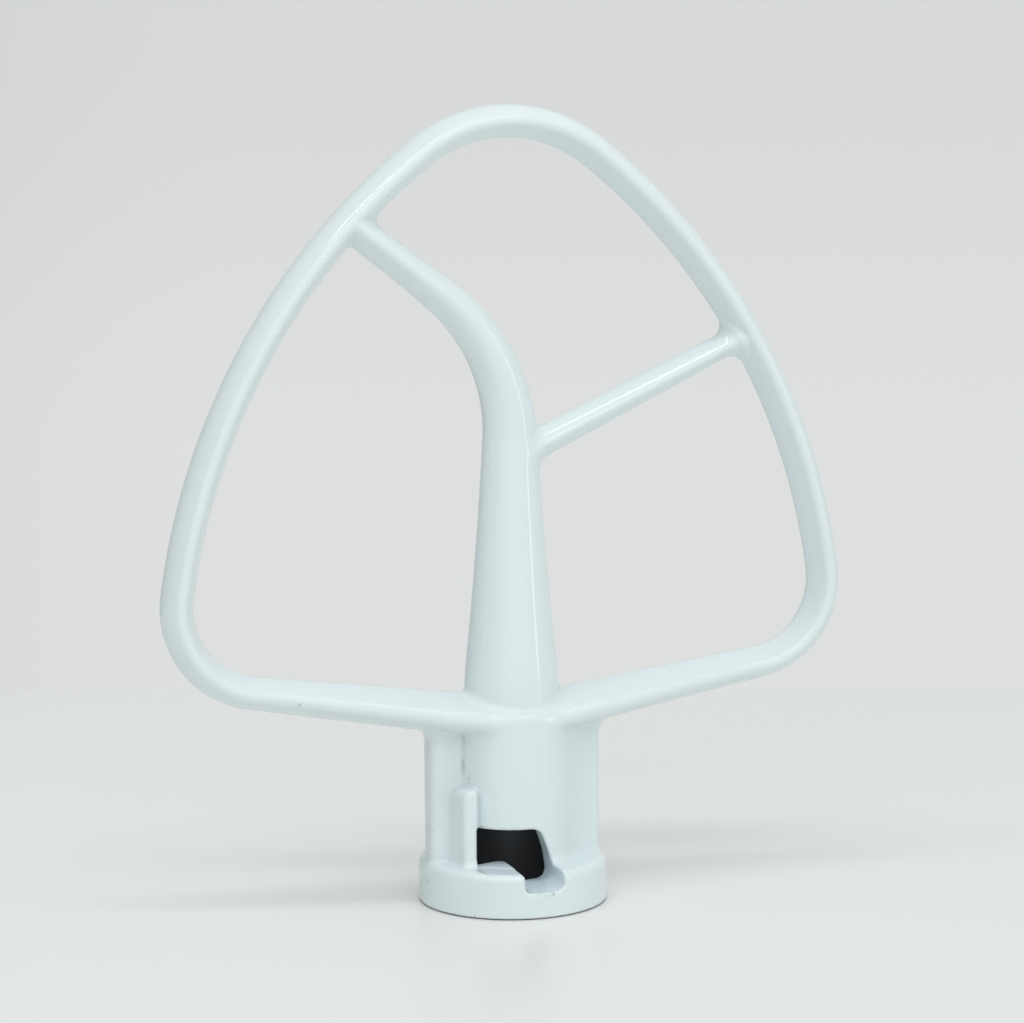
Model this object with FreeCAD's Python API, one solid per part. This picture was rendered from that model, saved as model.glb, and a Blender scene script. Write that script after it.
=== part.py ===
"""Flat beater for a stand mixer: one casting, standing on the mouth of its drive socket.

Frame: the origin is the centre of the socket's mouth, +Z runs up the socket into the blade,
X lies across the blade and Y through its thickness. The blade's mid-plane is Y = 0.
"""
import FreeCAD, Part
import math
import os

V = FreeCAD.Vector
ORIGIN = V(0, 0, 0)
UP = V(0, 0, 1)
TO_BACK = V(0, 1, 0)

# Drive socket and the bayonet pin that locks in it
shaft_diameter = 12.7
shaft_clearance = 0.15
bore_depth = 30.0
mouth_chamfer = 0.6
pin_diameter = 4.8
pin_clearance = 0.75
pin_reach = 10.8
keyway_angle = 72.0

# Hub
collar_diameter = 34.0
collar_height = 8.0
collar_rounding = 1.5
rim_rounding = 0.5
tube_diameter = 21.0
tube_rise = 2.1
tube_rounding = 0.9
ledge_width = 0.2
foot_fillet = 0.9
web_inset = 1.0
web_thickness = 5.6
web_end_rounding = 1.6
web_fillet = 2.2
waist_fillet = 1.6

# Bayonet window and pin seat in the front of the hub
window_height = 6.5
window_lean = 2.6
window_rounding = 1.4
seat_depth = 3.4
seat_offset = 0.8
seat_play = 2.6
seat_rounding = 1.2

# Boss over the keyway
boss_wall = 1.9
boss_side_wall = 1.85
boss_face_width = 2.45
boss_draft = 0.22
boss_top = 22.4
boss_shoulder = 2.0
boss_rounding = 0.7

# Blade loop: a rounded rhombus, fuller on its outer side, carried along tangent arcs
blade_height = 142.0
limb_thickness = 5.9
limb_depth = 10.0
nose_radius = 1.3
inner_fullness = 0.25
outer_fullness = 0.8
top_radius = 29.2
top_sweep = 37.9
side_radius = 120.6
side_end = 81.7
corner_radius = 18.4
arm_slope = 9.0
arm_root_thickness = 8.0
arm_root_depth = 18.6

# Stem, bent at the top to run into the loop
neck_diameter = 9.9
bend_drop = 59.0
bend_radius = 32.6
bar_fullness = 0.5
stem_meets_loop = 46.5

# Branch from the stem to the other side of the loop
branch_root_thickness = 5.6
branch_tip_thickness = 4.3
branch_depth = 6.8
branch_nose_radius = 0.9
branch_fullness = 0.75
branch_root_drop = 62.4
branch_meets_loop = 59.3

# Fillets in the blade's plane, where limbs meet
loop_fillet = 2.8
stem_fillet = 2.0
root_fillet = 1.6

# How far one solid runs into the next, so that no two faces lie on each other
tuck = 0.6
grip = 0.03
foot_sink = 0.06


def plane_point(x, z):
    return V(x, 0, z)


def polar(centre, radius, degrees):
    """Point on a circle in the blade's plane; the angle runs from +Z towards +X."""
    a = math.radians(degrees)
    return centre + V(radius * math.sin(a), 0, radius * math.cos(a))


def mirror_x(p):
    return V(-p.x, p.y, p.z)


def flank(a, b, corner, fullness):
    """Ridge end, middle and nose end of one quarter of a limb's section.

    The flank joins (a, 0) to (0, b), grown by the corner radius. A fullness of 0 is straight, 1 is
    as full as the corners allow, and below 0 it is hollow.
    """
    chord = math.hypot(a, b)
    sag = fullness * chord * math.tan(math.atan2(min(a, b), max(a, b)) / 2) / 2
    radius = (chord * chord / 4 + sag * sag) / (2 * sag)
    centre_w = a / 2 - b / chord * (radius - sag)
    centre_d = b / 2 - a / chord * (radius - sag)
    grown = (radius + corner) / radius
    ridge = (centre_w + (a - centre_w) * grown, centre_d - centre_d * grown)
    middle = (centre_w + b / chord * (radius + corner), centre_d + a / chord * (radius + corner))
    nose = (centre_w - centre_w * grown, centre_d + (b - centre_d) * grown)
    return ridge, middle, nose


def section(centre, along, half_width, half_depth, corner, inner, outer=None):
    """Rounded rhombus across a limb: width in the blade's plane, depth along Y.

    The inner side lies to the left of the way along; both sides are alike where outer is left out.
    """
    across = along.cross(TO_BACK).normalize()
    sizes = (half_width - corner, half_depth - corner, corner)
    ridge, middle, nose = flank(*sizes, inner)
    far_ridge, far_middle, far_nose = flank(*sizes, inner if outer is None else outer)

    def at(stop, w_sign, d_sign):
        return centre + across * (stop[0] * w_sign) + TO_BACK * (stop[1] * d_sign)

    side = (half_width, 0)
    front = (0, half_depth)
    arcs = [
        (at(ridge, 1, -1), at(side, 1, 1), at(ridge, 1, 1)),
        (at(ridge, 1, 1), at(middle, 1, 1), at(nose, 1, 1)),
        (at(nose, 1, 1), at(front, 1, 1), at(far_nose, -1, 1)),
        (at(far_nose, -1, 1), at(far_middle, -1, 1), at(far_ridge, -1, 1)),
        (at(far_ridge, -1, 1), at(side, -1, 1), at(far_ridge, -1, -1)),
        (at(far_ridge, -1, -1), at(far_middle, -1, -1), at(far_nose, -1, -1)),
        (at(far_nose, -1, -1), at(front, 1, -1), at(nose, 1, -1)),
        (at(nose, 1, -1), at(middle, 1, -1), at(ridge, 1, -1)),
    ]
    return Part.Wire([Part.Arc(*arc).toShape() for arc in arcs])


def loft(sections):
    return Part.makeLoft(sections, True, False)


def fillet_width(reach):
    """How far a unit fillet stands out from a bar, at a reach of 0 to 1 from the wall it meets."""
    return 1.0 - math.sqrt(1.0 - (1.0 - reach) ** 2)


def outline(corners, place=plane_point):
    """Closed flat wire through (u, v, radius) corners, each rounded by its radius."""
    points = [place(u, v) for u, v, radius in corners]
    edges = []
    last = None
    for i, (u, v, radius) in enumerate(corners):
        p = points[i]
        back = (points[i - 1] - p).normalize()
        ahead = (points[(i + 1) % len(points)] - p).normalize()
        half = back.getAngle(ahead) / 2
        reach = radius / math.tan(half)
        start = p + back * reach
        end = p + ahead * reach
        if last and (start - last).Length > 1e-6:
            edges.append(Part.LineSegment(last, start).toShape())
        if radius > 0:
            middle = p + (back + ahead).normalize() * (radius / math.sin(half) - radius)
            edges.append(Part.Arc(start, middle, end).toShape())
        if i == 0:
            first = start
        last = end
    edges.append(Part.LineSegment(last, first).toShape())
    return Part.Wire(edges)


def polygon_face(points):
    return Part.Face(Part.makePolygon(points + points[:1]))


def prism(wire, start, end):
    """Solid from a wire in the plane Y = 0, carried from one depth to another."""
    face = Part.Face(wire)
    face.translate(TO_BACK * start)
    return face.extrude(TO_BACK * (end - start))


# Loop: its centre line is a chain of tangent arcs, the same on both sides
half_limb = limb_thickness / 2
half_depth = limb_depth / 2
limb_size = (half_limb, half_depth, nose_radius)
top_line = top_radius - half_limb
side_line = side_radius - half_limb
corner_line = corner_radius - half_limb
top_centre = plane_point(0, blade_height - top_radius)
side_centre = polar(top_centre, top_radius - side_radius, top_sweep)
corner_centre = polar(side_centre, side_radius - corner_radius, side_end)
arm_start = 180.0 - arm_slope

crown = polar(top_centre, top_line, 0)
shoulder = polar(top_centre, top_line, top_sweep)
side_middle = polar(side_centre, side_line, (top_sweep + side_end) / 2)
hip = polar(side_centre, side_line, side_end)
corner_middle = polar(corner_centre, corner_line, (side_end + arm_start) / 2)
arm_tip = polar(corner_centre, corner_line, arm_start)

right_arcs = [(arm_tip, corner_middle, hip), (hip, side_middle, shoulder)]
top_arc = [(shoulder, crown, mirror_x(shoulder))]
left_arcs = [[mirror_x(p) for p in reversed(arc)] for arc in reversed(right_arcs)]
centre_line = Part.Wire([Part.Arc(*arc).toShape() for arc in right_arcs + top_arc + left_arcs])
arm_out = polar(ORIGIN, 1, 90 - arm_slope)
loop_fullness = (inner_fullness, outer_fullness)
loop = centre_line.makePipeShell([section(arm_tip, arm_out, *limb_size, *loop_fullness)], True, False)

# Arms: the loop's section grows thicker and deeper on its way down to the hub
arm_length = arm_tip.x / arm_out.x


def arm_half_width(share):
    return half_limb + (arm_root_thickness / 2 - half_limb) * share


def arm_section(share):
    """Section at a share of the way from the loop's corner to the hub's axis."""
    swell = share * share * (3 - 2 * share)
    depth = half_depth + (arm_root_depth / 2 - half_depth) * swell
    corner = nose_radius * (1 + share / 2)
    place = arm_tip - arm_out * (arm_length * share)
    return section(place, arm_out, arm_half_width(share), depth, corner, *loop_fullness)


def arm_edge(x, side):
    """Height of the arm's upper (side 1) or lower (side -1) edge in the blade's plane."""
    share = 1 - x / arm_tip.x
    middle = arm_tip.z - (arm_tip.x - x) * arm_out.z / arm_out.x
    return middle + side * arm_half_width(share) / arm_out.x


right_arm = loft([arm_section(share) for share in (0.0, 0.2, 0.4, 0.6, 0.8, 1.0)])
left_arm = right_arm.mirror(ORIGIN, V(1, 0, 0))

# Stem: round above the hub, flattening through the bend into a bar like the loop's own
tube_r = tube_diameter / 2
foot_r = tube_r - tube_rounding - ledge_width - foot_fillet
neck_r = neck_diameter / 2
stem_joint = mirror_x(polar(side_centre, side_line, stem_meets_loop))
bend_start = blade_height - bend_drop
bend_centre = plane_point(-bend_radius, bend_start)
to_joint = stem_joint - bend_centre
bend = math.degrees(math.atan2(to_joint.z, to_joint.x) - math.acos(bend_radius / to_joint.Length))
bend_end = polar(bend_centre, bend_radius, 90 - bend)
bar_along = (stem_joint - bend_end).normalize()
bar_third = (stem_joint - bend_end) * 0.33
root_z = arm_edge(foot_r, 1)


def stem_round(z, radius, spread=0.0):
    return section(plane_point(0, z), UP, radius + spread, radius, radius * 0.95, 0.9)


def stem_bend(share):
    """Section at a share of the bend, on the way from round to flat."""
    width = neck_r + (half_limb * 1.15 - neck_r) * share
    corner = (neck_r * (1 - share) + nose_radius * 2 * share) * 0.95
    along = polar(ORIGIN, 1, -bend * share)
    fullness = 0.9 + (bar_fullness - 0.9) * share
    place = polar(bend_centre, bend_radius, 90 - bend * share)
    return section(place, along, width, half_depth, corner, fullness)


def foot_sections(joint, along, normal, width, depth, corner, fullness, wall, fillet):
    """Sections of a bar's end, parallel to the wall it meets and widening to it in a fillet."""
    lean = along.dot(normal)
    sunk_depth = half_depth * (1 - foot_sink)
    sections = []
    for reach, full in ((1.0, fullness), (0.55, 0.4), (0.25, 0.2), (0.08, -0.3)):
        spread = fillet * fillet_width(reach)
        deep = depth + (sunk_depth - depth) * (1 - reach) ** 2
        place = joint - along * ((wall + fillet * reach) / lean)
        sections.append(section(place, normal, width / lean + spread, deep, corner, full))
    inside = joint - along * (wall * 0.35 / lean)
    sections.append(section(inside, normal, width / lean + fillet * 0.9, sunk_depth, corner, -0.5))
    return sections


stem_base = [stem_round(z, foot_r, root_fillet) for z in (bore_depth - 1, root_z)]
stem_root = []
for rise in (0.0, 0.08, 0.25, 0.55, 1.0):
    stem_root.append(stem_round(root_z + root_fillet * rise, foot_r, root_fillet * fillet_width(rise)))
stem_shaft = [stem_root[-1]]
stem_run = bend_start - root_z - root_fillet
for share in (0.33, 0.66):
    taper = share * (1.3 - 0.3 * share)
    stem_shaft.append(stem_round(bend_start - stem_run * (1 - share), foot_r + (neck_r - foot_r) * taper))
stem_shaft += [stem_bend(share) for share in (0.0, 0.33, 0.67, 1.0)]
bar_size = (*limb_size, bar_fullness)
stem_shaft.append(section(bend_end + bar_third, bar_along, *bar_size))
loop_normal = mirror_x(polar(ORIGIN, 1, stem_meets_loop))
stem_foot = foot_sections(stem_joint, bar_along, loop_normal, *bar_size, half_limb, stem_fillet)
stem_shaft.append(stem_foot[0])
stem_pieces = [loft(stem_base), loft(stem_root), loft(stem_shaft), loft(stem_foot)]

# Branch: a thinner bar with a filleted foot on the loop and on the stem
branch_root = plane_point(0, blade_height - branch_root_drop)
branch_joint = polar(side_centre, side_line, branch_meets_loop)
branch_along = (branch_joint - branch_root).normalize()
root_width = branch_root_thickness / 2
branch_rest = (branch_depth / 2, branch_nose_radius, branch_fullness)
branch_normal = polar(ORIGIN, 1, branch_meets_loop)
across_stem = V(1, 0, 0)
root_size = (root_width, *branch_rest)
tip_size = (branch_tip_thickness / 2, *branch_rest)
root_foot = foot_sections(branch_root, branch_along * -1, across_stem * -1, *root_size, neck_r, stem_fillet)
loop_foot = foot_sections(branch_joint, branch_along, branch_normal, *tip_size, half_limb, loop_fillet)
branch_start = branch_root + branch_along * ((neck_r + stem_fillet) / branch_along.x)
start = section(branch_start, across_stem, root_width / branch_along.x, *branch_rest)
branch_pieces = [loft(root_foot), loft([start, loop_foot[0]]), loft(loop_foot)]

# Hub: collar, tube and the ledge at the stem's foot, turned about the socket's axis
collar_r = collar_diameter / 2
tube_top = arm_tip.z - arm_length * arm_out.z + tube_rise
spigot_r = foot_r - tuck / 3
spigot_top = tube_top + foot_fillet * 1.5
turned = outline([
    (0, 0, 0),
    (collar_r, 0, rim_rounding),
    (collar_r, collar_height, collar_rounding),
    (tube_r, collar_height, waist_fillet),
    (tube_r, tube_top, tube_rounding),
    (spigot_r, tube_top, foot_fillet),
    (spigot_r, spigot_top, 0),
    (0, spigot_top, 0),
])
barrel = Part.Face(turned).revolve(ORIGIN, UP, 360)

# Webs: one plate through the tube, its ends rounded and filleted up into the arms
web_half = collar_r - web_inset
web_bottom = collar_height / 2
web_top = arm_edge(web_half, -1) + tuck
wing = web_half + web_fillet * 0.9
wing_z = arm_edge(wing, -1) + tuck
web_outline = outline([
    (-web_half, web_bottom, 0),
    (web_half, web_bottom, 0),
    (web_half, web_top, web_fillet),
    (wing, wing_z, 0),
    (wing, wing_z + half_limb, 0),
    (-wing, wing_z + half_limb, 0),
    (-wing, wing_z, 0),
    (-web_half, web_top, web_fillet),
])
web_y = web_thickness / 2
web = prism(web_outline, -web_y, web_y)


def is_end_edge(edge):
    """The webs' long outer corners, from the collar up into the arms."""
    box = edge.BoundBox
    upright = box.YLength < 0.01 and box.ZLength > 0.5 and box.ZMax < wing_z + 0.01
    return upright and min(abs(box.XMin), abs(box.XMax)) > web_half - 0.01


web = web.makeFillet(web_end_rounding, [e for e in web.Edges if is_end_edge(e)])

# Fillets between the tube and the webs, drawn in plan
grip_r = tube_r - grip
fillet_x = math.sqrt((grip_r + waist_fillet) ** 2 - (web_y + waist_fillet) ** 2)
touch_x = fillet_x * grip_r / (grip_r + waist_fillet)
touch_y = (web_y + waist_fillet) * grip_r / (grip_r + waist_fillet)
knee_x = (grip_r ** 2 - touch_y * web_y) / touch_x
waist_x = fillet_x + tuck
waist_outline = outline([
    (waist_x, -web_y, 0),
    (waist_x, web_y, 0),
    (knee_x, web_y, waist_fillet),
    (touch_x, touch_y, 0),
    (-touch_x, touch_y, 0),
    (-knee_x, web_y, waist_fillet),
    (-waist_x, web_y, 0),
    (-waist_x, -web_y, 0),
    (-knee_x, -web_y, waist_fillet),
    (-touch_x, -touch_y, 0),
    (touch_x, -touch_y, 0),
    (knee_x, -web_y, waist_fillet),
], V)
waist = Part.Face(waist_outline).extrude(UP * (tube_top - tube_rounding - web_bottom))
waist.translate(UP * web_bottom)

# Boss over the keyway: a drafted pad that stands out of the web and the tube
k = math.radians(keyway_angle)
key_along = V(-math.sin(k), -math.cos(k), 0)
key_across = V(math.cos(k), -math.sin(k), 0)
key_half = pin_diameter / 2 + pin_clearance
key_reach = pin_reach + pin_clearance / 2
key_corner = key_along * key_reach + key_across * key_half
boss_front = key_corner.y - boss_wall
boss_left = key_corner.x - boss_side_wall
boss_right = boss_left + boss_face_width
boss_spread = boss_draft * -boss_front


def boss_ring(y, left, right):
    corners = [V(left, y, web_bottom), V(right, y, web_bottom), V(right, y, boss_top), V(left, y, boss_top)]
    return Part.makePolygon(corners + corners[:1])


boss_root = boss_ring(0, boss_left - boss_spread, boss_right + boss_spread)
boss_face = boss_ring(boss_front, boss_left, boss_right)
boss = Part.makeLoft([boss_root, boss_face], True, True)

# Its shoulder towards the web is well rounded, the other edges only eased
shoulder_edges = []
for edge in boss.Edges:
    box = edge.BoundBox
    if box.YLength > boss_wall and box.ZMin > boss_top - 0.01 and box.XMax < boss_left + 0.01:
        shoulder_edges.append(edge)
boss = boss.makeFillet(boss_shoulder, shoulder_edges)
eased_edges = []
for edge in boss.Edges:
    box = edge.BoundBox
    on_face = box.YMax < boss_front + 0.01 and box.ZMax > collar_height
    on_right = box.XMin > boss_right - 0.01 and box.ZMin > boss_top - 0.01
    if on_face or on_right:
        eased_edges.append(edge)
boss = boss.makeFillet(boss_rounding, eased_edges)

# Socket: blind bore with a drilled end, a chamfered mouth and the keyway for the pin
bore_r = shaft_diameter / 2 + shaft_clearance
bore = Part.makeCylinder(bore_r, bore_depth)
bore_end = Part.makeCone(bore_r, 0, bore_r * 0.6, UP * bore_depth)
mouth = Part.makeCone(bore_r + mouth_chamfer, bore_r, mouth_chamfer)
window_top = collar_height + window_height
key_corners = [(0, -key_half), (key_reach, -key_half), (key_reach, key_half), (0, key_half)]
keyway = polygon_face([key_along * r + key_across * w for r, w in key_corners]).extrude(UP * window_top)

# Bayonet window and the seat where the locked pin rests, open to the front
seat_half = (pin_diameter + seat_play) / 2
seat_left = seat_offset - seat_half
seat_right = seat_offset + seat_half
seat_z = collar_height - seat_depth
window_outline = outline([
    (boss_right, collar_height, 0),
    (seat_left, collar_height, seat_rounding / 2),
    (seat_left, seat_z, seat_rounding),
    (seat_right, seat_z, seat_rounding * 1.6),
    (seat_right, collar_height, seat_rounding),
    (seat_right - window_lean, window_top, window_rounding),
    (boss_right, window_top, 0),
])
window = prism(window_outline, -collar_r - 1, 0)

# One casting
hub = barrel.fuse([web, waist, boss])
blade = loop.fuse([right_arm, left_arm] + stem_pieces + branch_pieces)
socket = bore.fuse([bore_end, mouth, keyway, window])
beater = hub.fuse(blade).cut(socket).removeSplitter().Solids[0]

os.makedirs("parts", exist_ok=True)
beater.exportStep("parts/flat_beater.step")
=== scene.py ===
import math

import bpy
import numpy as np
from mathutils import Matrix, Vector


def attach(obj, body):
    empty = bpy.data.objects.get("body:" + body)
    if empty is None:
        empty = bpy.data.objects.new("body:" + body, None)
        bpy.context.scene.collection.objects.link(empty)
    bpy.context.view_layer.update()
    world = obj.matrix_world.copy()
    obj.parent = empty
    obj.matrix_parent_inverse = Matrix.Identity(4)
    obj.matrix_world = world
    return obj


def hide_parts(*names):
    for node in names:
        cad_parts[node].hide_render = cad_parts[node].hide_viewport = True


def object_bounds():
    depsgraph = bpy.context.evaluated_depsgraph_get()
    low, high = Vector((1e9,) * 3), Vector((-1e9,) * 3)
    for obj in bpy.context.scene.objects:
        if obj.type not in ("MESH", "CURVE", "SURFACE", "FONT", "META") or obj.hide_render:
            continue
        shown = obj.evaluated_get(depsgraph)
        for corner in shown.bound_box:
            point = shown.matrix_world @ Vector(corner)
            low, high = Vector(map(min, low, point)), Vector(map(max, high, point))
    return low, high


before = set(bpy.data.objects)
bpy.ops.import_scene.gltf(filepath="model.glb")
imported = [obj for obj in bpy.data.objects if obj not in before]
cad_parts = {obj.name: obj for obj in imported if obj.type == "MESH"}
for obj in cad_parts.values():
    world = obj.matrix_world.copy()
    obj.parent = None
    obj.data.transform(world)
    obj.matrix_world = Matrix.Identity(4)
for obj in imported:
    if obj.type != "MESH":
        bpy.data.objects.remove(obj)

cad_box = [list(corner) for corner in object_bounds()]

# Blade loop: a cast ring bent like a rounded triangle, with two arms running down to the hub.
# Its section is a slim rhombus with a rounded nose on each face, fuller on the loop's outer side.
# Lengths are in millimetres, as on the drawing: x across the blade, y through it, z up.
BLADE_HEIGHT = 142.0
LIMB_HALF_WIDTH = 2.95
LIMB_HALF_DEPTH = 5.0
NOSE_RADIUS = 1.3
LOOP_FULLNESS = (0.25, 0.8)
TOP_RADIUS = 29.2
TOP_SWEEP = math.radians(37.9)
SIDE_RADIUS = 120.6
SIDE_END = math.radians(81.7)
CORNER_RADIUS = 18.4
ARM_SLOPE = math.radians(9.0)
ARM_ROOT_HALF_WIDTH = 4.0
ARM_ROOT_HALF_DEPTH = 9.3


def polar(centre, radius, angle):
    """Point at an angle from up towards the right, on a circle in the blade's plane."""
    return (centre[0] + radius * math.sin(angle), centre[1] + radius * math.cos(angle))


TOP_CENTRE = (0.0, BLADE_HEIGHT - TOP_RADIUS)
SIDE_CENTRE = polar(TOP_CENTRE, TOP_RADIUS - SIDE_RADIUS, TOP_SWEEP)
CORNER_CENTRE = polar(SIDE_CENTRE, SIDE_RADIUS - CORNER_RADIUS, SIDE_END)
ARM_START = math.pi - ARM_SLOPE
ARM_TIP = polar(CORNER_CENTRE, CORNER_RADIUS - LIMB_HALF_WIDTH, ARM_START)
ARM_OUT = (math.cos(ARM_SLOPE), math.sin(ARM_SLOPE))


def limb(w, d, half_w, half_d, corner, inner, outer):
    """Distance to a limb's section: a quarter is one bowed flank between two corners, grown by a disc.

    A fullness of 0 makes a flank straight and 1 as full as the corners allow; w is above 0 on the inner side.
    """
    a = half_w - corner
    b = half_d - corner
    chord = np.hypot(a, b)
    sag = np.where(w > 0, inner, outer) * chord * np.tan(np.arctan2(np.minimum(a, b), np.maximum(a, b)) / 2) / 2
    flank = (chord * chord / 4 + sag * sag) / (2 * sag)
    centre_w = a / 2 - b / chord * (flank - sag)
    centre_d = b / 2 - a / chord * (flank - sag)
    w = np.abs(w)
    d = np.abs(d)
    gap = np.hypot(w - centre_w, d - centre_d) - flank
    past_ridge = (d - centre_d) * (a - centre_w) < (w - centre_w) * -centre_d
    past_nose = (d - centre_d) * -centre_w > (w - centre_w) * (b - centre_d)
    gap = np.where(past_ridge, np.hypot(w - a, d), gap)
    return np.where(past_nose, np.hypot(w, d - b), gap) - corner


def to_arc(x, z, centre, radius, start, end):
    """Distance in the blade's plane to an arc, above 0 on its inner side; the angle is held between its ends."""
    dx = x - centre[0]
    dz = z - centre[1]
    angle = np.clip(np.arctan2(dx, dz), start, end)
    gap = np.hypot(dx - radius * np.sin(angle), dz - radius * np.cos(angle))
    return np.copysign(gap, radius - np.hypot(dx, dz))


def arm_share(x, z):
    """How far a point is along an arm, 0 at the loop's corner and 1 at the hub's axis."""
    along = (ARM_TIP[0] - x) * ARM_OUT[0] + (ARM_TIP[1] - z) * ARM_OUT[1]
    return np.clip(along / (ARM_TIP[0] / ARM_OUT[0]), 0, 1)


def loop_field(x, y, z):
    """Distance to the loop with its arms: nearest of three tangent arcs and a line that thickens to the hub."""
    x = np.abs(x)
    w = to_arc(x, z, TOP_CENTRE, TOP_RADIUS - LIMB_HALF_WIDTH, 0, TOP_SWEEP)
    for arc in ((SIDE_CENTRE, SIDE_RADIUS - LIMB_HALF_WIDTH, TOP_SWEEP, SIDE_END),
                (CORNER_CENTRE, CORNER_RADIUS - LIMB_HALF_WIDTH, SIDE_END, ARM_START)):
        other = to_arc(x, z, *arc)
        w = np.where(np.abs(other) < np.abs(w), other, w)
    ring = limb(w, y, LIMB_HALF_WIDTH, LIMB_HALF_DEPTH, NOSE_RADIUS, *LOOP_FULLNESS)
    share = arm_share(x, z)
    reach = share * ARM_TIP[0] / ARM_OUT[0]
    gap = np.hypot(x - ARM_TIP[0] + ARM_OUT[0] * reach, z - ARM_TIP[1] + ARM_OUT[1] * reach)
    w = np.copysign(gap, (z - ARM_TIP[1]) * ARM_OUT[0] - (x - ARM_TIP[0]) * ARM_OUT[1])
    swell = share * share * (3 - 2 * share)
    half_width = LIMB_HALF_WIDTH + (ARM_ROOT_HALF_WIDTH - LIMB_HALF_WIDTH) * share
    half_depth = LIMB_HALF_DEPTH + (ARM_ROOT_HALF_DEPTH - LIMB_HALF_DEPTH) * swell
    arm = limb(w, y, half_width, half_depth, NOSE_RADIUS * (1 + share / 2), *LOOP_FULLNESS)
    return np.minimum(ring, arm)


# Stem: it rises round and tapering from the hub, bends over to one side and flattens into a bar
# that runs into the loop. It is cast in one with the loop, and the meetings are filleted.
FOOT_RADIUS = 8.5
NECK_RADIUS = 4.95
TAPER_START = 40.4
BEND_START = BLADE_HEIGHT - 59.0
BEND_RADIUS = 32.6
STEM_MEETS_LOOP = math.radians(46.5)

BEND_CENTRE = (-BEND_RADIUS, BEND_START)
joint_right = polar(SIDE_CENTRE, SIDE_RADIUS - LIMB_HALF_WIDTH, STEM_MEETS_LOOP)
STEM_JOINT = (-joint_right[0], joint_right[1])
to_joint = (STEM_JOINT[0] - BEND_CENTRE[0], STEM_JOINT[1] - BEND_CENTRE[1])
BEND = math.atan2(to_joint[1], to_joint[0]) - math.acos(BEND_RADIUS / math.hypot(*to_joint))
BEND_END = polar(BEND_CENTRE, BEND_RADIUS, math.pi / 2 - BEND)
BAR_LENGTH = math.hypot(STEM_JOINT[0] - BEND_END[0], STEM_JOINT[1] - BEND_END[1])
BAR_ALONG = ((STEM_JOINT[0] - BEND_END[0]) / BAR_LENGTH, (STEM_JOINT[1] - BEND_END[1]) / BAR_LENGTH)
BAR_START = BEND_START + BEND_RADIUS * BEND

stem_run = np.arange(0.0, BAR_START + BAR_LENGTH + 20, 0.25)
taper = np.clip((stem_run - TAPER_START) / (BEND_START - TAPER_START), 0, 1)
flatten = np.clip((stem_run - BEND_START) / (BAR_START + BAR_LENGTH / 3 - BEND_START), 0, 1)
stem_width = FOOT_RADIUS + (NECK_RADIUS - FOOT_RADIUS) * taper * (1.3 - 0.3 * taper)
stem_depth = stem_width * (1 - flatten) + LIMB_HALF_DEPTH * flatten
stem_depth = np.where(flatten > 0, np.maximum(stem_depth, LIMB_HALF_DEPTH), stem_depth)
stem_corner = stem_width * 0.95 * (1 - flatten) + NOSE_RADIUS * flatten
stem_width = stem_width + (LIMB_HALF_WIDTH - NECK_RADIUS) * flatten
soften = np.hanning(33)
soften = soften / soften.sum()


def eased(values):
    """A table of sizes along the stem, averaged over a few millimetres so that no step shows."""
    padded = np.concatenate([np.full(16, values[0]), values, np.full(16, values[-1])])
    return np.convolve(padded, soften, "valid")


stem_fullness = 0.9 - 0.4 * flatten
stem_sizes = [eased(table) for table in (stem_width, stem_depth, stem_corner, stem_fullness)]


def stem_field(x, y, z):
    """Distance to the stem: nearest of its upright, its bend and its bar, with the section read at that place."""
    places = [np.clip(z, 0, BEND_START)]
    gaps = [np.hypot(x, z - places[0])]
    dx = x - BEND_CENTRE[0]
    dz = z - BEND_CENTRE[1]
    angle = np.clip(np.arctan2(dz, dx), 0, BEND)
    places.append(BEND_START + BEND_RADIUS * angle)
    gaps.append(np.hypot(dx - BEND_RADIUS * np.cos(angle), dz - BEND_RADIUS * np.sin(angle)))
    dx = x - BEND_END[0]
    dz = z - BEND_END[1]
    run = np.clip(dx * BAR_ALONG[0] + dz * BAR_ALONG[1], 0, BAR_LENGTH)
    places.append(BAR_START + run)
    gaps.append(np.hypot(dx - run * BAR_ALONG[0], dz - run * BAR_ALONG[1]))
    place, gap = places[0], gaps[0]
    for other, w in zip(places[1:], gaps[1:]):
        place = np.where(w < gap, other, place)
        gap = np.minimum(w, gap)
    *size, fullness = [np.interp(place, stem_run, table) for table in stem_sizes]
    return limb(gap, y, *size, fullness, fullness)


# Branch: a thinner bar of the same kind, cast in one with the rest, from the stem across to the
# other side of the loop. It tapers a little away from the stem.
BRANCH_ROOT = (0.0, BLADE_HEIGHT - 62.4)
BRANCH_JOINT = polar(SIDE_CENTRE, SIDE_RADIUS - LIMB_HALF_WIDTH, math.radians(59.3))
BRANCH_ROOT_HALF_WIDTH = 2.8
BRANCH_TIP_HALF_WIDTH = 2.15
BRANCH_HALF_DEPTH = 3.4
BRANCH_NOSE_RADIUS = 0.9
BRANCH_FULLNESS = 0.75


def branch_field(x, y, z):
    """Distance to the branch: a straight line between its two ends, a little stouter at the stem."""
    ux = BRANCH_JOINT[0] - BRANCH_ROOT[0]
    uz = BRANCH_JOINT[1] - BRANCH_ROOT[1]
    dx = x - BRANCH_ROOT[0]
    dz = z - BRANCH_ROOT[1]
    share = np.clip((dx * ux + dz * uz) / (ux * ux + uz * uz), 0, 1)
    half_width = BRANCH_ROOT_HALF_WIDTH + (BRANCH_TIP_HALF_WIDTH - BRANCH_ROOT_HALF_WIDTH) * share
    gap = np.hypot(dx - share * ux, dz - share * uz)
    return limb(gap, y, half_width, BRANCH_HALF_DEPTH, BRANCH_NOSE_RADIUS, BRANCH_FULLNESS, BRANCH_FULLNESS)


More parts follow.
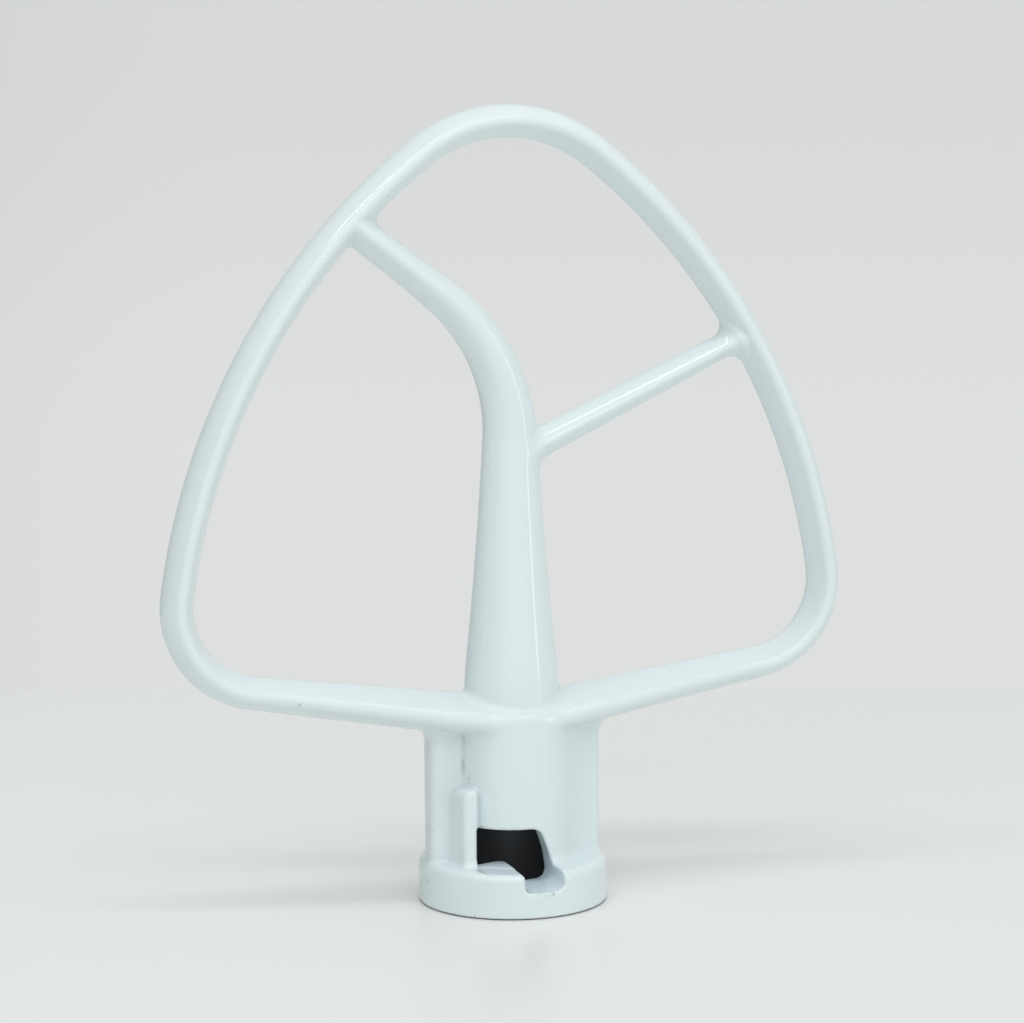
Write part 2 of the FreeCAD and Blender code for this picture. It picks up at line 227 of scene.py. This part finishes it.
# Hub: a tube on a collar, with a plate-like web on each side that carries the arms and a raised
# boss over the keyway. It is part of the same casting.
COLLAR_RADIUS = 17.0
COLLAR_HEIGHT = 8.0
COLLAR_ROUNDING = 1.5
RIM_ROUNDING = 0.5
TUBE_RADIUS = 10.5
TUBE_TOP = 35.3
TUBE_ROUNDING = 1.5
WEB_HALF_SPAN = 16.0
WEB_HALF_THICKNESS = 2.8
WEB_END_ROUNDING = 1.6
KEYWAY_ANGLE = math.radians(72.0)
KEYWAY_HALF_WIDTH = 3.15
KEYWAY_REACH = 11.175
BOSS_FRONT = -8.35
BOSS_LEFT = -11.5
BOSS_RIGHT = -9.05
BOSS_DRAFT = 0.22
BOSS_TOP = 21.8
BOSS_SHOULDER = 2.0
BOSS_ROUNDING = 0.7
BOSS_FILLET = 0.5
HIDDEN_FOOT = 1.0
WEB_FILLETS = (1.0, 4.2)
COLLAR_FILLETS = (1.6, 0.5)


def join(a, b, radius):
    """Union of two distances with a fillet of the given radius where they meet."""
    return np.maximum(radius, np.minimum(a, b)) - np.hypot(np.maximum(radius - a, 0), np.maximum(radius - b, 0))


def keep_both(a, b, radius):
    """Overlap of two distances, its edge rounded by the given radius."""
    return np.minimum(-radius, np.maximum(a, b)) + np.hypot(np.maximum(radius + a, 0), np.maximum(radius + b, 0))


def rounded_box(u, v, half_u, half_v, radius):
    """Distance in a plane to a rectangle with rounded corners."""
    du = np.abs(u) - half_u + radius
    dv = np.abs(v) - half_v + radius
    outside = np.hypot(np.maximum(du, 0), np.maximum(dv, 0))
    return outside + np.minimum(np.maximum(du, dv), 0) - radius


def hub_field(x, y, z):
    """Distance to the hub: turned collar and tube, webs as an upright slab, boss as a block with leaning sides.

    The collar and tube run on below the rim here, and the whole casting is cut there.
    """
    rho = np.hypot(x, y)
    collar = keep_both(rho - COLLAR_RADIUS, z - COLLAR_HEIGHT, COLLAR_ROUNDING)
    tube = keep_both(rho - TUBE_RADIUS, z - TUBE_TOP, TUBE_ROUNDING)
    web_plan = rounded_box(x, y, WEB_HALF_SPAN, WEB_HALF_THICKNESS, WEB_END_ROUNDING)
    arm_line = ARM_TIP[1] - (ARM_TIP[0] - np.abs(x)) * ARM_OUT[1] / ARM_OUT[0]
    web = np.maximum(web_plan, np.maximum(z - arm_line, HIDDEN_FOOT - z))
    lean = 1 / math.hypot(1, BOSS_DRAFT)
    depth = y - BOSS_FRONT
    left_side = (BOSS_LEFT - BOSS_DRAFT * depth - x) * lean
    right_side = (x - BOSS_RIGHT - BOSS_DRAFT * depth) * lean
    boss = keep_both(left_side, z - BOSS_TOP, BOSS_SHOULDER)
    boss = keep_both(boss, right_side, BOSS_ROUNDING)
    boss = keep_both(boss, -depth, BOSS_ROUNDING)
    boss = np.maximum(np.maximum(boss, y), HIDDEN_FOOT - z)
    web_fillet = np.interp(x, (-6, 6), WEB_FILLETS)
    collar_fillet = np.interp(np.abs(x), (11, 14), COLLAR_FILLETS)
    body = join(tube, web, web_fillet)
    body = join(body, boss, BOSS_FILLET)
    return join(body, collar, collar_fillet)


# Socket: a blind bore for the drive shaft, a keyway for its cross pin, and in front the window and
# seat that the pin turns into. The bore is left bare metal; the window's edges are coated.
BORE_RADIUS = 6.5
BORE_DEPTH = 30.0
MOUTH_CHAMFER = 0.6
WINDOW_TOP = 14.5
WINDOW_LEAN = 2.6 / 6.5
SEAT_LEFT = -2.9
SEAT_RIGHT = 4.5
SEAT_FLOOR = 4.6
SEAT_CORNERS = (1.2, 1.9)
WINDOW_CORNERS = (0.6, 1.2, 1.4)
BORE_END_SLOPE = 0.6


def window_field(x, y, z):
    """Distance to the window and seat: a slot beside a deeper seat, with rounded corners, open to the front."""
    seat = keep_both(SEAT_LEFT - x, SEAT_FLOOR - z, SEAT_CORNERS[0])
    left = join(seat, np.maximum(BOSS_RIGHT - x, COLLAR_HEIGHT - z), WINDOW_CORNERS[0])
    leaning = (x - SEAT_RIGHT + (z - COLLAR_HEIGHT) * WINDOW_LEAN) / math.hypot(1, WINDOW_LEAN)
    right = keep_both(x - SEAT_RIGHT, leaning, WINDOW_CORNERS[1])
    right = keep_both(right, SEAT_FLOOR - z, SEAT_CORNERS[1])
    right = keep_both(right, z - WINDOW_TOP, WINDOW_CORNERS[2])
    return np.maximum(np.maximum(left, right), y)


def socket_field(x, y, z):
    """Distance to the space inside the socket: bore with a pointed end and eased mouth, keyway slot, window."""
    rho = np.hypot(x, y)
    end = BORE_DEPTH + (BORE_RADIUS - rho) * BORE_END_SLOPE
    bore = np.maximum(rho - BORE_RADIUS, (z - end) * 0.86)
    bore = np.minimum(bore, (rho - BORE_RADIUS - MOUTH_CHAMFER + z) * 0.71)
    along = -x * math.sin(KEYWAY_ANGLE) - y * math.cos(KEYWAY_ANGLE)
    across = x * math.cos(KEYWAY_ANGLE) - y * math.sin(KEYWAY_ANGLE)
    keyway = np.maximum(np.abs(across) - KEYWAY_HALF_WIDTH, np.maximum(along - KEYWAY_REACH, -along))
    keyway = np.maximum(keyway, z - WINDOW_TOP)
    return np.minimum(np.minimum(bore, keyway), window_field(x, y, z))


# One casting: the limbs run together in fillets, on the inner side of the loop only, so that the
# loop's outer edge sweeps past each meeting unbroken. The socket is taken out with eased edges.
ROOT_FILLET = 1.6
BAR_FILLET = 1.3
BRANCH_FILLET = 2.8
BRANCH_ROOT_FILLET = 1.8
HUB_FILLETS = (0.8, 2.2)
SOCKET_EDGE = 0.5


def casting_field(x, y, z):
    """Distance to the whole casting: limbs and hub joined, cut flat at the rim, less the socket."""
    within = SIDE_RADIUS - LIMB_HALF_WIDTH - np.hypot(np.abs(x) - SIDE_CENTRE[0], z - SIDE_CENTRE[1])
    within = np.clip(within / 2.5, 0, 1)
    above_bar = (z - STEM_JOINT[1]) * -BAR_ALONG[0] + (x - STEM_JOINT[0]) * BAR_ALONG[1]
    bar_fillet = BAR_FILLET + 0.5 * np.clip(above_bar / 2, -1, 1)
    blade = join(loop_field(x, y, z), stem_field(x, y, z), np.where(z < 60, ROOT_FILLET, bar_fillet * within))
    branch_fillet = np.where(x > 18, BRANCH_FILLET * within, BRANCH_ROOT_FILLET)
    blade = join(blade, branch_field(x, y, z), branch_fillet)
    hub_fillet = np.interp(np.abs(x), (10, 14), HUB_FILLETS)
    solid = join(hub_field(x, y, z), blade, hub_fillet)
    solid = keep_both(solid, -z, RIM_ROUNDING)
    return keep_both(solid, -socket_field(x, y, z), SOCKET_EDGE)


# Skin: the casting's outside, smooth as it leaves the mould. It is the zero surface of the field
# above, first found on a grid of cells, then drawn onto the surface and evened out along it.
GRID = 0.54


def slope(points, h=0.01):
    """Value and gradient of the field at some points, from four samples a small step away."""
    value = 0.0
    gradient = 0.0
    for step in np.array([(1, 1, 1), (1, -1, -1), (-1, 1, -1), (-1, -1, 1)]) * h:
        sample = casting_field(*(points + step).T)
        value = value + sample / 4
        gradient = gradient + sample[:, None] * step / (4 * h * h)
    return value, gradient


def settle(points, rounds):
    """Moves points along the slope of the field until they lie on the surface."""
    for _ in range(rounds):
        value, g = slope(points)
        shift = value / np.maximum((g * g).sum(1), 0.2)
        points = points - g * np.clip(shift, -GRID / 2, GRID / 2)[:, None]
    return points


def surface_net(low, high):
    """One point in each grid cell that the surface crosses, and a quad round each grid edge that it cuts."""
    axes = [np.arange(a - GRID * 1.5, b + GRID * 2.5, GRID) for a, b in zip(low, high)]
    y, z = np.meshgrid(*axes[1:], indexing="ij")
    inside = np.stack([casting_field(np.full(y.shape, x), y, z) < 0 for x in axes[0]])
    count = inside.astype(np.int8)
    count = count[:-1] + count[1:]
    count = count[:, :-1] + count[:, 1:]
    count = count[:, :, :-1] + count[:, :, 1:]
    cut = (count > 0) & (count < 8)
    number = np.full(cut.shape, -1)
    number[cut] = np.arange(cut.sum())
    cells = np.argwhere(cut)
    points = np.stack([axes[a][cells[:, a]] + GRID / 2 for a in range(3)], 1)
    quads = []
    for axis in range(3):
        near = np.moveaxis(inside, axis, 0)[:-1, 1:-1, 1:-1]
        far = np.moveaxis(inside, axis, 0)[1:, 1:-1, 1:-1]
        ring = np.moveaxis(number, axis, 0)
        around = np.stack([ring[:, :-1, :-1], ring[:, 1:, :-1], ring[:, 1:, 1:], ring[:, :-1, 1:]], -1)
        outward = near & ~far if axis != 1 else far & ~near
        inward = far & ~near if axis != 1 else near & ~far
        quads += [around[outward], around[inward][:, ::-1]]
    return points, np.concatenate(quads)


low, high = [np.array(corner) * 1000 for corner in cad_box]
points, quads = surface_net(low, high)
points = settle(points, 4)
edges = np.concatenate([quads[:, [0, 1]], quads[:, [1, 2]], quads[:, [2, 3]], quads[:, [3, 0]]])
for _ in range(4):
    total = np.stack([np.bincount(edges[:, 0], points[edges[:, 1], a], len(points)) for a in range(3)], 1)
    middle = total / np.bincount(edges[:, 0], minlength=len(points))[:, None]
    normal = slope(points)[1]
    normal /= np.linalg.norm(normal, axis=1)[:, None]
    pull = middle - points
    points = settle(points + 0.5 * (pull - normal * (pull * normal).sum(1)[:, None]), 2)
normal = slope(points)[1]
normal /= np.maximum(np.linalg.norm(normal, axis=1), 1e-6)[:, None]
points = np.clip(points, low, high)


def off_surface(first, second):
    """How far from the surface the middle of each quad's diagonal lies."""
    return np.abs(casting_field(*((points[quads[:, first]] + points[quads[:, second]]) / 2).T))


flatter = (off_surface(0, 2) < off_surface(1, 3))[:, None]
quads = np.where(flatter, quads, np.roll(quads, -1, axis=1))
triangles = np.concatenate([quads[:, [0, 1, 2]], quads[:, [0, 2, 3]]])

skin = bpy.data.meshes.new("beater_casting")
skin.from_pydata((points / 1000).tolist(), [], triangles.tolist())
skin.shade_smooth()
skin.normals_split_custom_set_from_vertices(normal.tolist())
casting = bpy.data.objects.new("beater_casting", skin)
bpy.context.scene.collection.objects.link(casting)
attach(casting, "root")
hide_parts("flat_beater")

# Coat: a hard glossy white with a faint blue-green cast, baked on over the casting.
# The bore stays bare metal, coloured near black as painted shade, and the rim's lower edge is rubbed
# through, its dark band also a painted contact shadow. The pin seat's coat is lighter and bluer as
# painted light in its recess. Use has left small chips and a scuffed web, and the crease is darkened,
# partly dirt and partly painted shade. A mark is its place, its radius and how dark it is.
COAT_COLOUR = (0.75, 0.83, 0.85, 1.0)
# Painted light: the seat's lighter, bluer coat stands in for the light in its recess.
SEAT_PAINTED_LIGHT_COLOUR = (0.81, 0.92, 0.99, 1.0)
# Painted shade: bare metal made near black for the shade inside the bore and keyway, and for the contact shadow
# along the rim's lower edge.
BARE_METAL_AND_SHADE_COLOUR = (0.095, 0.1, 0.112, 1.0)
# Dirt for the chips; in the crease it is painted shade as well as dirt.
DIRT_AND_SHADE_COLOUR = (0.16, 0.18, 0.19, 1.0)
CREASE = (-10.15, -3.25)
MARKS = (
    (-40.2, -5.2, 38.6, 0.35, 0.4),
    (-49.9, -2.0, 38.1, 0.35, 0.5),
    (-0.6, -16.9, 4.4, 0.3, 0.3),
    (0.5, -17.0, 4.1, 0.3, 0.3),
    (1.3, -17.0, 4.2, 0.25, 0.35),
    (2.1, -16.8, 4.3, 0.4, 0.45),
    (-9.5, -4.5, 23.4, 0.4, 0.2),
    (-8.0, -6.8, 14.9, 0.35, 0.35),
    (-7.5, -7.2, 15.1, 0.3, 0.3),
    (-11.1, -12.8, 0.4, 0.4, 0.4),
    (-16.0, -1.2, 14.4, 0.45, 0.2),
    (-15.6, -2.3, 13.6, 0.4, 0.12),
    (-16.7, -2.9, 5.0, 0.5, 0.2),
    (-16.4, -4.3, 3.6, 0.35, 0.2),
)


class Wire:
    """A shader value that takes Python arithmetic: each operator adds one Math node."""

    def __init__(self, tree, socket):
        self.tree = tree
        self.socket = socket

    def node(self, kind, settings, inputs, output=0):
        """Adds a node, sets its options, then fills its sockets with numbers or with other wires."""
        made = self.tree.nodes.new(kind)
        for name, value in settings.items():
            setattr(made, name, value)
        for name, value in inputs.items():
            if isinstance(value, Wire):
                self.tree.links.new(value.socket, made.inputs[name])
            else:
                made.inputs[name].default_value = value
        return Wire(self.tree, made.outputs[output])

    def math(self, operation, first, second=0.0):
        return self.node("ShaderNodeMath", {"operation": operation}, {0: first, 1: second})

    def __add__(self, other):
        return self.math("ADD", self, other)

    def __sub__(self, other):
        return self.math("SUBTRACT", self, other)

    def __rsub__(self, other):
        return self.math("SUBTRACT", other, self)

    def __mul__(self, other):
        return self.math("MULTIPLY", self, other)

    def between(self, low, high):
        """0 below the first value, 1 above the second, eased in between."""
        inputs = {"Value": self, "From Min": low, "From Max": high}
        return self.node("ShaderNodeMapRange", {"interpolation_type": "SMOOTHSTEP"}, inputs)

    __radd__ = __add__
    __rmul__ = __mul__


coat = bpy.data.materials.new("gloss_white_coat")
coat.use_nodes = True
tree = coat.node_tree
shader = tree.nodes["Principled BSDF"]
start = Wire(tree, shader.outputs[0])
place = start.node("ShaderNodeTexCoord", {}, {}, "Object")
axes = [start.node("ShaderNodeSeparateXYZ", {}, {"Vector": place}, name) * 1000.0 for name in "XYZ"]
x, y, z = axes
radius = start.math("SQRT", x * x + y * y)
# Painted shade: the bore and keyway take the near-black bare colour.
in_bore = (1.0 - radius.between(BORE_RADIUS + 0.05, BORE_RADIUS + 0.25)) * (1.0 - z.between(34.5, 35.0))
along = x * -math.sin(KEYWAY_ANGLE) - y * math.cos(KEYWAY_ANGLE)
across = start.math("ABSOLUTE", x * math.cos(KEYWAY_ANGLE) - y * math.sin(KEYWAY_ANGLE))
in_keyway = (1.0 - across.between(KEYWAY_HALF_WIDTH + 0.05, KEYWAY_HALF_WIDTH + 0.2)) * along.between(0.0, 0.2)
in_keyway = in_keyway * (1.0 - along.between(KEYWAY_REACH + 0.1, KEYWAY_REACH + 0.3))
in_keyway = in_keyway * (1.0 - z.between(WINDOW_TOP + 0.1, WINDOW_TOP + 0.3))
# Rubbed-through edge at the rim, darkened also as a painted contact shadow.
at_rim = (1.0 - z.between(0.1, 0.35)) * radius.between(15.9, 16.4)
bare_and_shade = start.math("MAXIMUM", start.math("MAXIMUM", in_bore, in_keyway), at_rim)

# Painted light: the seat's floor and walls take a lighter, bluer coat.
seat_painted_light = z.between(4.2, 4.5) * (1.0 - z.between(8.2, 9.0)) * (1.0 - radius.between(15.8, 16.6))
seat_painted_light = seat_painted_light * x.between(BOSS_RIGHT + 0.1, BOSS_RIGHT + 0.6) * (1.0 - x.between(SEAT_RIGHT, SEAT_RIGHT + 0.4))
seat_painted_light = seat_painted_light * (1.0 - y.between(-4.0, -3.0))

grain = start.node("ShaderNodeTexNoise", {}, {"Vector": place, "Scale": 700.0, "Detail": 2.0}, "Fac")
blotch = start.node("ShaderNodeTexNoise", {}, {"Vector": place, "Scale": 260.0, "Detail": 3.0}, "Fac")
speckle = start.node("ShaderNodeTexNoise", {}, {"Vector": place, "Scale": 2600.0, "Detail": 2.0}, "Fac")
# Painted shade with some dirt: a blotchy dark line down the crease between tube and web.
crease_x = x - CREASE[0]
crease_y = y - CREASE[1]
from_crease = start.math("SQRT", crease_x * crease_x + crease_y * crease_y) + speckle * 0.3
dirt_and_shade = (1.0 - from_crease.between(0.2, 0.9)) * z.between(22.5, 26.0) * (1.0 - z.between(30.0, 34.0))
dirt_and_shade = dirt_and_shade * (0.12 + blotch.between(0.35, 0.65) * 0.4)
ragged = speckle * 1.0 - 0.5
for mark_x, mark_y, mark_z, size, darkness in MARKS:
    spot = (mark_x / 1000, mark_y / 1000, mark_z / 1000)
    away = start.node("ShaderNodeVectorMath", {"operation": "DISTANCE"}, {0: place, 1: spot}, "Value") * 1000.0
    chip = (1.0 - (away + ragged).between(size * 0.4, size)) * darkness
    dirt_and_shade = start.math("MAXIMUM", dirt_and_shade, chip)

colour = start.node("ShaderNodeMix", {"data_type": "RGBA"}, {"Factor": seat_painted_light, 6: COAT_COLOUR, 7: SEAT_PAINTED_LIGHT_COLOUR}, 2)
colour = start.node("ShaderNodeMix", {"data_type": "RGBA"}, {"Factor": bare_and_shade, 6: colour, 7: BARE_METAL_AND_SHADE_COLOUR}, 2)
colour = start.node("ShaderNodeMix", {"data_type": "RGBA"}, {"Factor": dirt_and_shade, 6: colour, 7: DIRT_AND_SHADE_COLOUR}, 2)
tree.links.new(colour.socket, shader.inputs["Base Color"])
roughness = 0.085 + grain * 0.03 + blotch * bare_and_shade * 0.5 + bare_and_shade * 0.15 + dirt_and_shade * 0.4
tree.links.new(roughness.socket, shader.inputs["Roughness"])
tree.links.new((bare_and_shade * 0.3).socket, shader.inputs["Metallic"])
skin.materials.append(coat)

# Camera: it looks slightly down on the blade's front, from the left, through a long lens.
# The place is in metres, and the focal length in pixels of the picture.
CAMERA_PLACE = Vector((-150.9, -471.8, 128.7)) / 1000
CAMERA_AZIMUTH = math.radians(17.77)
CAMERA_PITCH = math.radians(6.745)
CAMERA_ROLL = math.radians(-0.37)
FOCAL_PIXELS = 2800.0
IMAGE_WIDTH = 1024

lens = bpy.data.cameras.new("camera")
lens.sensor_width = 36.0
lens.lens = FOCAL_PIXELS / IMAGE_WIDTH * lens.sensor_width
camera = bpy.data.objects.new("camera", lens)
bpy.context.scene.collection.objects.link(camera)
ahead = Vector((math.sin(CAMERA_AZIMUTH), math.cos(CAMERA_AZIMUTH), 0))
side = Vector((math.cos(CAMERA_AZIMUTH), -math.sin(CAMERA_AZIMUTH), 0))
forward = ahead * math.cos(CAMERA_PITCH) - Vector((0, 0, 1)) * math.sin(CAMERA_PITCH)
upward = side.cross(forward)
right = side * math.cos(CAMERA_ROLL) + upward * math.sin(CAMERA_ROLL)
top = upward * math.cos(CAMERA_ROLL) - side * math.sin(CAMERA_ROLL)
turn = Matrix((right, top, -forward)).transposed().to_4x4()
camera.matrix_world = Matrix.Translation(CAMERA_PLACE) @ turn
bpy.context.scene.camera = camera

# Table: a pale, slightly glossy sheet that the beater stands on, and that ends a little way
# behind it. Lengths are in metres, measured along and across the camera's view.
TABLE_BACK = 0.205
TABLE_FRONT = -1.2
TABLE_HALF_WIDTH = 1.2

sheet = bpy.data.meshes.new("table")
corners = [(-TABLE_HALF_WIDTH, TABLE_FRONT), (TABLE_HALF_WIDTH, TABLE_FRONT),
           (TABLE_HALF_WIDTH, TABLE_BACK), (-TABLE_HALF_WIDTH, TABLE_BACK)]
sheet.from_pydata([tuple(side * u + ahead * v) for u, v in corners], [], [(0, 1, 2, 3)])
table = bpy.data.objects.new("table", sheet)
bpy.context.scene.collection.objects.link(table)
table_finish = bpy.data.materials.new("pale_table")
table_finish.use_nodes = True
table_shader = table_finish.node_tree.nodes["Principled BSDF"]
table_shader.inputs["Base Color"].default_value = (0.86, 0.87, 0.86, 1)
table_shader.inputs["Roughness"].default_value = 0.3
sheet.materials.append(table_finish)

# Light: a pale surround, dimmer on the left and brighter behind the camera, with a narrow bright
# upright band at the right that draws a line on the stem, and two long soft boxes: one overhead
# and a weaker one lower in front. The band lights the beater but is not seen behind it.
BACKDROP_TINT = (0.972, 1.0, 0.99, 1)
BAND_ANGLE = math.radians(70.7)
SURROUND_LEVEL = 0.745
LEFT_DIMMING = 0.48
SKY_DIMMING = 0.045
FRONT_GAIN = 0.4
BAND_GAIN = 5.0

world = bpy.data.worlds.new("surround")
bpy.context.scene.world = world
world.use_nodes = True
tree = world.node_tree
surround = tree.nodes["Background"]
start = Wire(tree, surround.outputs[0])
look = start.node("ShaderNodeTexCoord", {}, {}, "Generated")


def share_towards(direction):
    """How far a look into the surround points in a direction, from -1 to 1."""
    return start.node("ShaderNodeVectorMath", {"operation": "DOT_PRODUCT"}, {0: look, 1: tuple(direction)}, "Value")


to_right = share_towards(side)
to_front = share_towards(-ahead)
to_top = share_towards((0, 0, 1))
to_band = share_towards(side * math.sin(BAND_ANGLE) - ahead * math.cos(BAND_ANGLE))
beside_band = start.math("ABSOLUTE", share_towards(side * math.cos(BAND_ANGLE) + ahead * math.sin(BAND_ANGLE)))
shade = (1.0 - to_right.between(-0.8, -0.08)) * (1.0 - to_top.between(0.3, 0.9))
band = to_band.between(0.0, 0.2) * (1.0 - beside_band.between(0.02, 0.045)) * (1.0 - to_top.between(0.28, 0.36))
band = band * (1.0 - start.node("ShaderNodeLightPath", {}, {}, "Is Camera Ray"))
level = SURROUND_LEVEL - LEFT_DIMMING * shade - SKY_DIMMING * to_top.between(-0.1, 0.06)
level = level + FRONT_GAIN * to_front.between(0.35, 0.95) + BAND_GAIN * band
surround.inputs["Color"].default_value = BACKDROP_TINT
tree.links.new(level.socket, surround.inputs["Strength"])


def soft_box(name, distance, height, shift, width, depth, power):
    """A rectangular lamp in front of the blade and above it, facing it, shifted sideways."""
    back = (Vector((0, 0, height - 0.07)) - ahead * distance).normalized()
    place = side * shift - ahead * distance + Vector((0, 0, height))
    lamp = bpy.data.lights.new(name, "AREA")
    lamp.shape = "RECTANGLE"
    lamp.size = width
    lamp.size_y = depth
    lamp.energy = power
    holder = bpy.data.objects.new(name, lamp)
    holder.matrix_world = Matrix.Translation(place) @ Matrix((side, back.cross(side), back)).transposed().to_4x4()
    bpy.context.scene.collection.objects.link(holder)


soft_box("overhead soft box", 0.27, 0.9, -0.12, 1.05, 0.1, 1.9)
soft_box("front soft box", 0.65, 0.68, -0.1, 0.7, 0.14, 0.85)

bpy.context.scene.view_settings.view_transform = "Standard"
